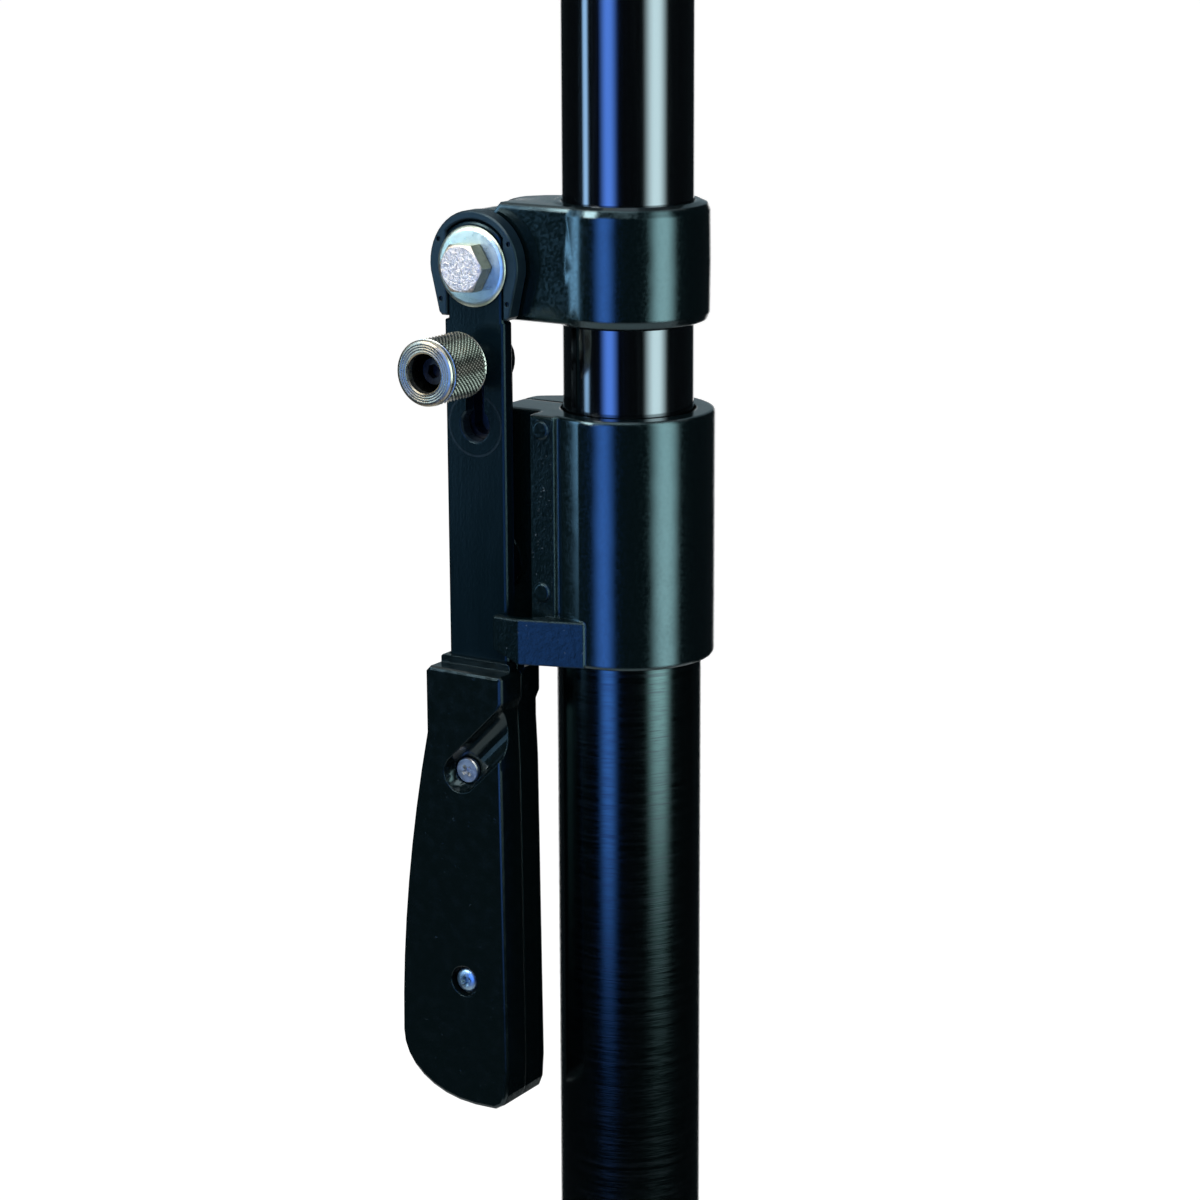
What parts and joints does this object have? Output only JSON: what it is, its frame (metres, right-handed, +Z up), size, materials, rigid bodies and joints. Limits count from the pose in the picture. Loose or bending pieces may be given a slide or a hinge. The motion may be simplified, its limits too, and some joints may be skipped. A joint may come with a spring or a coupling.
{
  "type": "floor-to-ceiling pole",
  "caption": "Telescopic pole braced between floor and ceiling by rubber-padded feet and locked by a toggle lever with a pull-knob catch.",
  "frame": {"origin": "centre of the floor pad's underside", "axes": "+Z up the pole towards the ceiling foot, -X towards the lever, -Y towards the side with the bolt head and the knob"},
  "size_m": [0.112, 0.1063, 1.5],
  "materials": {
    "outer_tube_black": "satin black anodised tube with fine rings of brushing",
    "inner_tube_black": "smooth gloss black tube",
    "casting_black": "gloss black paint over a slightly pitted casting",
    "lever_navy": "smooth blue-black paint on a flat steel bar",
    "grip_black": "gloss black moulded plastic",
    "shroud_black": "satin black plastic",
    "rubber_black": "dull black rubber",
    "zinc_blue": "bright bluish zinc plate",
    "knob_nickel": "diamond-knurled nickel-plated steel with a turned front ring",
    "steel_bare": "turned steel",
    "steel_black": "blackened steel",
    "nylon_grey": "dark grey nylon",
    "bronze_bush": "plain bronze"
  },
  "bodies": {
    "lower_pole": {"floor_pad": "rubber_black", "floor_foot": "casting_black", "floor_foot_screw": "zinc_blue", "floor_tube_plug": "nylon_grey", "outer_tube": "outer_tube_black", "lower_casting": "casting_black", "clamp_screw_lower": "steel_black", "clamp_screw_upper": "steel_black", "guide_bush": "nylon_grey", "link_anchor_pin": "steel_bare"},
    "upper_clamp": {"upper_casting": "casting_black", "pivot_bolt": "zinc_blue", "pivot_washer": "zinc_blue", "pivot_bush": "bronze_bush", "slip_washer": "nylon_grey", "rear_washer": "zinc_blue", "pivot_nut": "zinc_blue"},
    "upper_pole": {"inner_tube": "inner_tube_black", "tube_glide": "nylon_grey", "ceiling_tube_plug": "nylon_grey", "ceiling_foot": "casting_black", "ceiling_foot_screw": "zinc_blue", "ceiling_pad": "rubber_black"},
    "lever": {"lever_bar": "lever_navy", "end_shroud": "shroud_black", "grip_front": "grip_black", "grip_back": "grip_black", "grip_screw_upper": "steel_bare", "grip_screw_lower": "zinc_blue"},
    "link": {"link_bar": "steel_black"},
    "stud": {"slide_stud": "steel_bare", "knob_screw": "steel_black", "knob_spring": "steel_bare"},
    "knob": {"pull_knob": "knob_nickel"}
  },
  "joints": [
    {"name": "collar_lift", "type": "slide", "parent": "lower_pole", "child": "upper_clamp", "axis": [0, 0, 1], "range_m": [-0.0222, 0]},
    {"name": "pole_extend", "type": "slide", "parent": "upper_clamp", "child": "upper_pole", "axis": [0, 0, 1], "range_m": [0, 1.12]},
    {"name": "lever_swing", "type": "hinge", "parent": "upper_clamp", "child": "lever", "pos_m": [-0.0363, -0.02775, 1.36445], "axis": [0, 1, 0], "range_deg": [0, 66]},
    {"name": "link_turn", "type": "hinge", "parent": "lever", "child": "link", "pos_m": [-0.0363, -0.0232, 1.33565], "axis": [0, 1, 0], "range_deg": [-90.5, 0]},
    {"name": "knob_slide", "type": "slide", "parent": "lever", "child": "stud", "axis": [0, 0, -1], "range_m": [0, 0.0198]},
    {"name": "knob_pull", "type": "slide", "parent": "stud", "child": "knob", "axis": [0, -1, 0], "range_m": [0, 0.003], "stiffness_N_per_m": 800, "springref_m": -0.002, "deforming": ["knob_spring"]}
  ],
  "couplings": [
    {"joint": "collar_lift", "follows": "lever_swing", "m_per_rad": -0.019185},
    {"joint": "link_turn", "follows": "lever_swing", "ratio": -1.3697}
  ]
}
